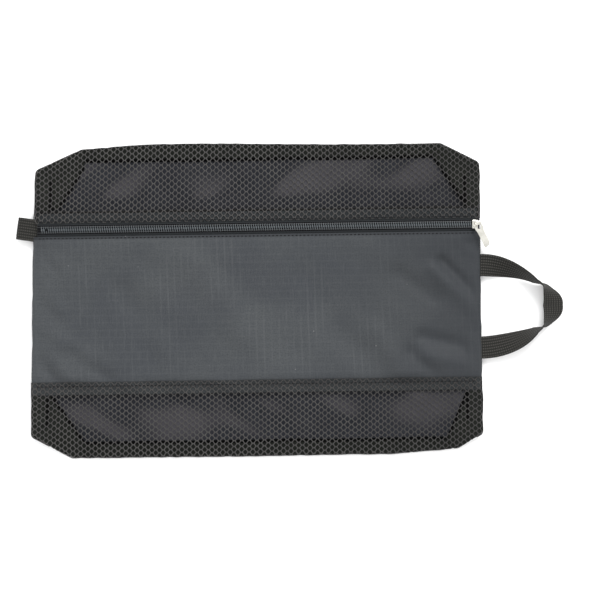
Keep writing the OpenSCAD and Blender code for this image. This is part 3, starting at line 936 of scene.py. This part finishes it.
def dashes(name, line, side, lift, body, nodes, share=None, radius=THREAD_R, dash=DASH,
           gap=DASH_GAP):
    """A row of stitches along a line of flat positions on the front (side 1) or back (side -1)
    cloth, or between the two (side 0, lift being the share of the way up)."""
    line = np.array(line, float)
    length = running_length(line)
    starts = np.arange(0.6, length[-1] - dash, dash + gap)
    steps, sides = len(STITCH_SHAPE), 6
    s = starts[:, None] + np.linspace(0, dash, steps)[None]
    x, y = (np.interp(s, length, line[:, k]) for k in (0, 1))
    dip = -STITCH_DIP * np.abs(np.linspace(-1, 1, steps)) ** 3
    if side == 0:
        centre = between(x, y, np.full(x.shape, lift), 0.6)
        centre[..., 2] += dip[None]
    else:
        centre = place(x, y, side, lift + dip[None] + 0 * x)
    stitches = [tube(path, radius * STITCH_SHAPE, sides) for path in centre]
    piece = make_piece(name, "thread", *join(stitches), nodes, None if share else body)
    if share:
        bend_with(piece, np.repeat(share(x, y).reshape(-1), sides))


def stitch_rows():
    """Every row of thread, on the long seams and on the side seams."""
    for name, y, lift, body, nodes, *rest in (
            ("upper_zip_topstitch", UPPER_MESH_Y + MESH_ROW, PROUD, "upper_lip",
             ["upper_zip_stitch"], upper_share),
            ("lower_zip_topstitch", PANEL_TOP_Y - FOLD_ROW, SUNK, "lower_lip",
             ["lower_zip_stitch"], lower_share),
            ("mesh_seam_topstitch", LOWER_MESH_Y - HEM_ROW, PROUD, "bag", ["mesh_seam_stitch"]),
            ("front_panel_overlock", ALLOWANCE_Y, -0.7, "bag", (), None, *OVERLOCK)):
        dashes(name, [(-LONG_ROW, y), (LONG_ROW, y)], 1, lift, body, nodes, *rest)
    for name, sign in (("upper", 1), ("lower", -1)):
        y = sign * (BACK_SEAM_Y + 2.2)
        dashes(name + "_back_topstitch", [(-BACK_ROW, y), (BACK_ROW, y)], -1, 0.2, "bag",
               [name + "_back_stitch"])
    for name, sign in (("left", -1), ("right", 1)):
        x = sign * 194.5
        dashes(name + "_side_seam_thread", [(x, -SIDE_ROW), (x, SIDE_ROW)], 0, 0.36, "bag",
               [name + "_side_stitch"])


TACK_W, TACK_HALF, TACK_TURNS = 2.5, 9, 22    # a bartack's width, half length and turns


def bartack(x, y, share):
    """A dense zigzag of thread from x to TACK_W beyond it, between the bag's two cloths."""
    t = np.linspace(0, 1, TACK_TURNS * 2 + 1)
    zigzag = np.where(np.arange(len(t)) % 2 == 0, x, x + TACK_W)
    low, high = y - TACK_HALF, y + TACK_HALF
    return tube(between(zigzag, low + (high - low) * t, np.full(len(t), share), 0.9), 0.24, 6)


# ---- Webbing -----------------------------------------------------------------
def web_section():
    """Positions across the webbing and its half thickness there: ribs with grooves between."""
    across = np.linspace(-1, 1, RIBS * 5 + 1)
    rib = np.abs(np.sin((across + 1) / 2 * RIBS * math.pi)) ** 0.6
    half = WEB_T / 2 * (0.66 + 0.34 * rib)
    half[[0, -1]] *= 0.45
    half[[1, -2]] *= 0.85
    return across * WEB_W / 2, half


def web_sweep(centre, wide):
    """Closed ribbed webbing along a centre line, given the way its width points."""
    across, half = web_section()
    up = unit(np.cross(unit(np.gradient(centre, axis=0)), wide))
    length = running_length(centre)
    tick = 1 + 0.10 * np.sin(length / WEFT_PITCH * 2 * math.pi)[:, None]
    flat = centre[:, None] + wide[:, None] * across[None, :, None]
    rise = up[:, None] * (half[None] * tick)[..., None]
    points, faces, _ = solid(np.concatenate([flat + rise, (flat - rise)[:, ::-1]], 1))
    along, over = np.broadcast_arrays(length[:, None], np.concatenate([across, across[::-1]]))
    return points, faces, grid_cloth(along, over)


# The handle's route as the CAD sweeps it, but for the tip and the legs' twist
HANDLE_X0, HANDLE_REACH, HANDLE_DROP, HANDLE_SPAN, HANDLE_Z = 201.0, 64.4, 8.0, 74.0, 6.0
FLAT_TURN, STAND_TURN, TIP_TURN = 5.0, 56.0, 12.0
FAR_BANK, STAND_RISE, FAR_DROP = 160.0, 5.5, 5.5
REACH_POWER, SPAN_POWER = 1.11, 1.18
FULL_TURN = 50.0             # past this turn the tip lies fuller than the CAD's, by up to 3 mm
FULL_X, FULL_Y = 1.4, 2.4    # how much fuller
LEG_TWIST = 7.0              # the upper leg stands up a little sooner than the lower one
WEB_TUCK, TUCK_STEPS = 9.0, 8    # how far its ends run on into the side seam


def handle_route(turn):
    """Centre line, bank in radians and share of the tip, at turns from 0 to 180 degrees."""
    folded = np.minimum(turn, 180 - turn)
    side = np.where(turn < 90, 1, -1)
    leg = np.clip((folded - FLAT_TURN) / (STAND_TURN - FLAT_TURN), 0, 1)
    past = np.sin(math.pi / 2 * np.maximum(folded - STAND_TURN, 0) / (90 - STAND_TURN))
    bank = 90 * leg + (FAR_BANK - 90) * past + LEG_TWIST * side * np.sin(math.pi * leg)
    lift = HANDLE_Z + STAND_RISE * ease(folded / STAND_TURN) - FAR_DROP * past
    tip = ease((folded - STAND_TURN) / TIP_TURN)
    full = np.sin(math.pi * np.clip((folded - FULL_TURN) / (90 - FULL_TURN), 0, 1))
    r = np.radians(turn)
    x = HANDLE_X0 + HANDLE_REACH * np.sin(r) ** REACH_POWER + FULL_X * full
    y = -HANDLE_DROP + side * HANDLE_SPAN / 2 * np.abs(np.cos(r)) ** SPAN_POWER \
        + FULL_Y * side * full
    return np.stack([x, y, lift], -1), np.radians(bank), tip[..., None]


def handle():
    """The handle: flat at the seam, its legs turning up on edge and over towards its tip."""
    centre, bank, tip = handle_route(np.clip(np.linspace(0, 180, 241), 1e-6, 180 - 1e-6))
    way = np.gradient(centre, axis=0)
    way[..., 2] = 0
    way[0], way[-1] = (1, 0, 0), (-1, 0, 0)
    way = unit(way)
    aside = np.stack([-way[:, 1], way[:, 0], 0 * way[:, 0]], -1)
    aside = unit(aside * (1 - tip) + np.array([1.0, 0, 0]) * tip)
    wide = aside * np.cos(bank)[:, None] + np.array([0, 0, 1.0]) * np.sin(bank)[:, None]
    tuck = np.linspace(WEB_TUCK, 0.8, TUCK_STEPS)[:, None] * np.array([[-1.0, 0, 0]])
    centre = np.concatenate([centre[:1] + tuck, centre, centre[-1:] + tuck[::-1]])
    wide = np.concatenate([np.repeat(wide[:1], TUCK_STEPS, 0), wide,
                           np.repeat(wide[-1:], TUCK_STEPS, 0)])
    piece = make_piece("handle_strap", "webbing", *web_sweep(centre, wide), ["handle_webbing"])
    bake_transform(piece)


def side_loop():
    """Webbing folded in half, its fold at the far end, slightly aslant."""
    middle_y = (LOOP_LOW[1] + LOOP_HIGH[1]) / 2 + 0.1
    fold_r, seam_r, slant = 1.75, 0.72, -0.154    # radius at the fold and at the seam
    straight = np.linspace(-193.0, LOOP_LOW[0] + 0.6 + fold_r + WEB_T / 2, 16)
    opened = ease((-197.0 - straight) / 8)
    spread = fold_r * opened + seam_r * (1 - opened)
    turn = np.linspace(0, math.pi, 14)[1:-1]
    x = np.concatenate([straight, straight[-1] - fold_r * np.sin(turn), straight[::-1]])
    z = HANDLE_Z + np.concatenate([spread, fold_r * np.cos(turn), -spread[::-1]])
    centre = np.stack([x, middle_y + (x + 200.0) * slant, z], -1)
    wide = np.repeat(unit(np.array([[-slant * 0.9, 1.0, 0.0]])), len(x), 0)
    piece = make_piece("side_loop_strap", "webbing", *web_sweep(centre, wide),
                       ["loop_webbing"])
    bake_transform(piece)


# ---- Zip ---------------------------------------------------------------------
ZIP_END = 198.6
COIL_PITCH = 2.03
COIL_FROM, COIL_TO = -194.0, 193.0    # the rows of teeth lie between these
CORD_END = 198.2
TAPE_W, TAPE_T = 17.0, 0.35
COIL_SEAT = -0.62            # the tape's and the teeth's lift, below the cloth beside them
CORD_AWAY, CORD_LIFT, CORD_R = 2.55, 0.05, 0.36    # the cord inside the coil
TOOTH_BESIDE = 0.66          # from a tooth to the one beside it on the other side
# The slider's divider at the far end of its travel: where it is, how far it reaches from there,
# and how far the heads of the teeth there stay from the zip line
DIVIDER_STOP, DIVIDER_HALF, DIVIDER_ROOM = -187.2, 1.7, 0.85
FLAT, TOOTH_MARK = np.array([1.0, 1.0, 0.0]), np.array([0.0, 0.0, 1.0])


def zip_tape(side, sign, share):
    """One side's tape: a bead beside the coil, then down under the cloth."""
    rows = np.concatenate([[0.15, 0.6, 1.4, 2.4, 3.1, 3.5, 3.9, 4.4, 4.9, 5.4],
                           np.linspace(6.4, TAPE_W, 9)])
    bead = 0.30 * np.exp(-((rows - 4.4) / 0.55) ** 2) - 0.15 * np.exp(-((rows - 3.4) / 0.4) ** 2)
    lifts = COIL_SEAT + bead - 0.25 * ease((rows - 5.2) / 2.0)
    lifts = lifts - (0.45 if sign < 0 else 0.1) * ease((rows - 4.0) / 1.5)
    x_line = np.linspace(-ZIP_END, ZIP_END, 220)
    x = np.repeat(x_line[None], len(rows), 0)
    y, lifts = widened(ZIP_Y + sign * rows, len(x_line)), widened(lifts, len(x_line))
    points, faces = shell(place(x, y, 1, lifts), place(x, y, 1, lifts - TAPE_T))
    piece = make_piece(side + "_tape", "zip_tape", points, faces if sign > 0 else faces[:, ::-1],
                       twice(grid_cloth(x, y)), [side + "_zip_tape"])
    bend_with(piece, twice(share(x, y).ravel()))


# One tooth's filament, from its root over its head and back, and its radius at each point
TOOTH = np.array([
    (0.2, 2.8, 0.10, 0.24), (0.2, 2.95, 0.55, 0.26), (0.16, 2.7, 1.0, 0.28),
    (0.1, 1.4, 1.15, 0.30), (0.0, -0.35, 1.12, 0.31), (0.0, -0.8, 0.72, 0.31),
    (0.0, -0.4, 0.3, 0.29), (-0.1, 1.4, 0.2, 0.24), (-0.2, 2.8, 0.12, 0.22)])


def coil(side, sign, share):
    """One side of the coil: a loop of filament for each tooth, and the cord inside."""
    offset = 0.0 if sign > 0 else TOOTH_BESIDE
    xs = np.arange(COIL_FROM + offset, COIL_TO, COIL_PITCH)
    tooth, faces, _ = tube(TOOTH[:, :3] * (1, sign, 1), TOOTH[:, 3], 6, up=(1.0, 0.0, 0.0))
    parts = []
    for seat in place(xs, ZIP_Y, 1, COIL_SEAT):
        points = tooth + seat
        if abs(seat[0] - DIVIDER_STOP) < DIVIDER_HALF:
            inward = np.maximum(sign * (points[:, 1] - ZIP_Y), DIVIDER_ROOM)
            points[:, 1] = ZIP_Y + sign * inward
        parts.append((points, faces, points * FLAT + TOOTH_MARK))
    line = np.linspace(-CORD_END, CORD_END, 160)
    points, faces, _ = tube(place(line, ZIP_Y + sign * CORD_AWAY, 1, CORD_LIFT), CORD_R, 6)
    # The cord keeps mark 0, so its material paints it near black as shade
    parts.append((points, faces, points * FLAT))
    points, faces, cloth = join(parts)
    piece = make_piece(side + "_teeth", "coil", points, faces, cloth, [side + "_coil"])
    bend_with(piece, share(points[:, 0], ZIP_Y))


def rounded_block(low, high, radius, cut=4):
    """A box with its upright and top edges rounded, in the form that join() takes."""
    low, high = np.array(low, float), np.array(high, float)
    middle, half = (low + high) / 2, (high - low) / 2
    corner = min(radius, *(half * 0.98))
    turn = np.linspace(0, math.pi / 2, cut + 1)
    profile = [(-half[2], corner * 0.5), (-half[2] + corner * 0.5, 0.0), (half[2] - corner, 0.0)]
    profile += [(half[2] - corner + corner * math.sin(a), corner * (1 - math.cos(a)))
                for a in turn[1:]]
    signs = ((1, 1), (-1, 1), (-1, -1), (1, -1))
    rings = [[(sx * (half[0] - corner) + (corner - inset) * math.cos(a),
               sy * (half[1] - corner) + (corner - inset) * math.sin(a), z)
              for k, (sx, sy) in enumerate(signs) for a in turn + k * math.pi / 2]
             for z, inset in profile]
    return solid(np.array(rings) + middle)


# Heights of the crown's cap, and its outline there as a share of its radii
CROWN = ((15.75, 0.80), (15.82, 0.97), (15.95, 1.0), (16.15, 0.94), (16.35, 0.78), (16.5, 0.5),
         (16.55, 0.2))
CROWN_X, CROWN_AWAY, CROWN_RX, CROWN_RY = 197.4, 0.95, 2.4, 2.2
LEG_X, LEG_AWAY, LEG_HALF = 197.5, 2.0, 0.3


def slider():
    """Two plates, the walls on the lower one, the divider, and the crown on two legs."""
    x0, x1 = SLIDER_LOW[0], SLIDER_HIGH[0]
    y0, y1 = SLIDER_LOW[1], SLIDER_HIGH[1]
    top_low, top_high, wall = 12.9, 13.9, 0.5
    waist = 2.1                  # half width of the upper plate under the crown
    parts = [rounded_block(*block) for block in (
        ((x0 - 0.3, y0, top_low), (195.9, y1, top_high), 0.5),
        ((195.0, ZIP_Y - waist + 1.4, top_low), (x1, ZIP_Y + waist + 1.0, top_high - 0.05), 0.5),
        ((x0 + 0.3, y0, 9.2), (x1 - 2.9, y1, 10.2), 0.45),
        *(((x0 + 0.2, y, 11.4), (196.6, y + wall, 13.2), 0.24) for y in (y0, y1 - wall)),
        ((197.05, ZIP_Y - 0.7, 9.6), (198.5, ZIP_Y + 0.7, 13.3), 0.65))]
    for x in (LEG_X - LEG_AWAY, LEG_X + LEG_AWAY):
        parts.append(rounded_block((x - LEG_HALF, ZIP_Y - 0.5, 13.5),
                                   (x + LEG_HALF, ZIP_Y + 0.7, 16.1), 0.28))
    turn = np.linspace(0, 2 * math.pi, 33)[:-1]
    oval = np.stack([CROWN_RX * np.cos(turn), CROWN_RY * np.sin(turn)], -1)
    middle = (CROWN_X, ZIP_Y + CROWN_AWAY)
    rings = [np.concatenate([share * oval + middle, np.full((len(turn), 1), level)], 1)
             for level, share in CROWN]
    parts.append(solid(np.array(rings)))
    make_piece("zip_slider", "nickel", *join(parts), ["slider_body"], "slider")


# The pull seen flat: along it from its pivot, and across it
PULL_OUTER = np.array([
    (-0.2, -3.25), (0.6, -3.7), (4.4, -3.7), (6.0, -3.35), (8.0, -3.05), (21.9, -3.0),
    (22.4, -2.5), (21.2, 1.5), (20.6, 2.0), (18.2, 3.1), (17.4, 3.2), (12.0, 2.85),
    (8.0, 2.75), (6.0, 3.2), (4.4, 3.7), (0.6, 3.7), (-0.2, 3.25)])
HOLE_LOWER = np.array([
    (0.45, -2.7), (0.7, -2.72), (1.5, -2.65), (2.3, -2.3), (3.1, -1.8), (3.9, -1.3),
    (4.4, -0.8), (4.6, -0.4), (4.7, 0.0)])
PULL_HOLE = np.concatenate([HOLE_LOWER, HOLE_LOWER[-2::-1] * (1, -1)])
PULL_PIVOT = np.array((197.5, ZIP_Y, 15.15))
PULL_LEAN, PULL_DROOP = math.radians(-64), math.radians(5)
BEVEL, BEVEL_DEPTH, BAR_R, BAR_HALF = 0.35, 0.28, 0.45, 3.3


def pull():
    """The pull: a bar under the crown, an eye, and a bevelled plate with a cut tip."""
    way = np.array((math.cos(PULL_LEAN) * math.cos(PULL_DROOP),
                    math.sin(PULL_LEAN) * math.cos(PULL_DROOP), -math.sin(PULL_DROOP)))
    aside = np.array((-math.sin(PULL_LEAN), math.cos(PULL_LEAN), 0.0))
    over = np.cross(way, aside)
    inset = PULL_OUTER - BEVEL * outward(np.roll(PULL_OUTER, -1, 0) - np.roll(PULL_OUTER, 1, 0))
    half = np.where(PULL_OUTER[:, 0] > 3.5, 0.62, 0.45)
    hole_half = np.full(len(PULL_HOLE), 0.5)
    rows = [PULL_PIVOT + flat[:, :1] * way + flat[:, 1:] * aside + level[:, None] * over
            for flat, level in ((PULL_HOLE, hole_half), (inset, half),
                                (PULL_OUTER, half - BEVEL_DEPTH),
                                (PULL_OUTER, BEVEL_DEPTH - half), (inset, -half),
                                (PULL_HOLE, -hole_half))]
    points, count, faces = np.concatenate(rows), len(PULL_OUTER), []
    for r in range(len(rows)):
        here, after = r * count, (r + 1) % len(rows) * count
        for k in range(count):
            m = (k + 1) % count
            faces.append([here + k, here + m, after + m, after + k])
    bar = PULL_PIVOT + aside * np.linspace(-BAR_HALF, BAR_HALF, 9)[:, None]
    make_piece("zip_pull", "nickel", *join([(points, faces, points), tube(bar, BAR_R, 12)]),
               ["pull_tab"], "pull", smooth=False)


# ---- Build -------------------------------------------------------------------
front = front_panel()
back = back_panel()
upper, upper_x, upper_y = mesh_cloth("upper_mesh_cloth", 1, UPPER_MESH_Y, UPPER_EDGE_Y,
                                     BACK_SEAM_Y, ["upper_mesh", "upper_mesh_gusset"])
bend_with(upper, upper_share(upper_x, upper_y))
lower, _, _ = mesh_cloth("lower_mesh_cloth", -1, -LOWER_MESH_Y, LOWER_EDGE_Y, BACK_SEAM_Y,
                         ["lower_mesh"])
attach(lower, "bag")
bindings()
corner_flaps()
stitch_rows()
for make in (zip_tape, coil):
    make("upper", 1, upper_share)
    make("lower", -1, lower_share)
slider()
pull()
handle()
side_loop()
for name, node, tacks in (
        ("handle_bartack_thread", "handle_bartacks",
         [bartack(188.5, -HANDLE_DROP + s * HANDLE_SPAN / 2, 0.5) for s in (-1, 1)]),
        ("loop_bartack_thread", "loop_bartack", [bartack(-191.0, ZIP_Y, 0.45)])):
    make_piece(name, "thread", *join(tacks), [node], "bag")

# ---- Floor, light and camera -------------------------------------------------
FLOOR_HALF, FLOOR_Z = 4, -0.0001
floor_mesh = bpy.data.meshes.new("floor")
floor_mesh.from_pydata([(x * FLOOR_HALF, y * FLOOR_HALF, FLOOR_Z)
                        for x, y in ((-1, -1), (1, -1), (1, 1), (-1, 1))], [], [(0, 1, 2, 3)])
floor = bpy.data.objects.new("floor", floor_mesh)
bpy.context.scene.collection.objects.link(floor)
paper = Shader("white_paper", 0.9, specular=0.1)
paper.bsdf.inputs["Base Color"].default_value = (0.93, 0.93, 0.93, 1.0)
floor_mesh.materials.append(paper.material)


def area_light(name, location, size, power):
    """A round white light aimed at the bag's middle."""
    light = bpy.data.lights.new(name, "AREA")
    light.shape = "DISK"
    light.size = size
    light.energy = power
    lamp = bpy.data.objects.new(name, light)
    lamp.location = location
    aim = (-lamp.location).to_track_quat("-Z", "Y")
    lamp.rotation_euler = aim.to_euler()
    bpy.context.scene.collection.objects.link(lamp)


area_light("key", (0.6, 1.6, 1.5), 1.4, 52.0)
area_light("fill", (-1.0, -0.8, 2.4), 2.0, 9.0)
world = bpy.data.worlds.new("studio")
world.use_nodes = True
background = world.node_tree.nodes["Background"]
background.inputs["Color"].default_value = (1.0, 1.0, 1.0, 1.0)
background.inputs["Strength"].default_value = 1.28
bpy.context.scene.world = world
bpy.context.scene.view_settings.view_transform = "Standard"

camera = bpy.data.cameras.new("camera")
camera.lens = 100
camera.sensor_width = 36
camera.clip_start, camera.clip_end = 0.05, 20
eye = bpy.data.objects.new("camera", camera)
eye.location = (0.0385, -0.0001, 1.5017)
eye.rotation_euler = (0, 0, math.radians(-0.8))
bpy.context.scene.collection.objects.link(eye)
bpy.context.scene.camera = eye
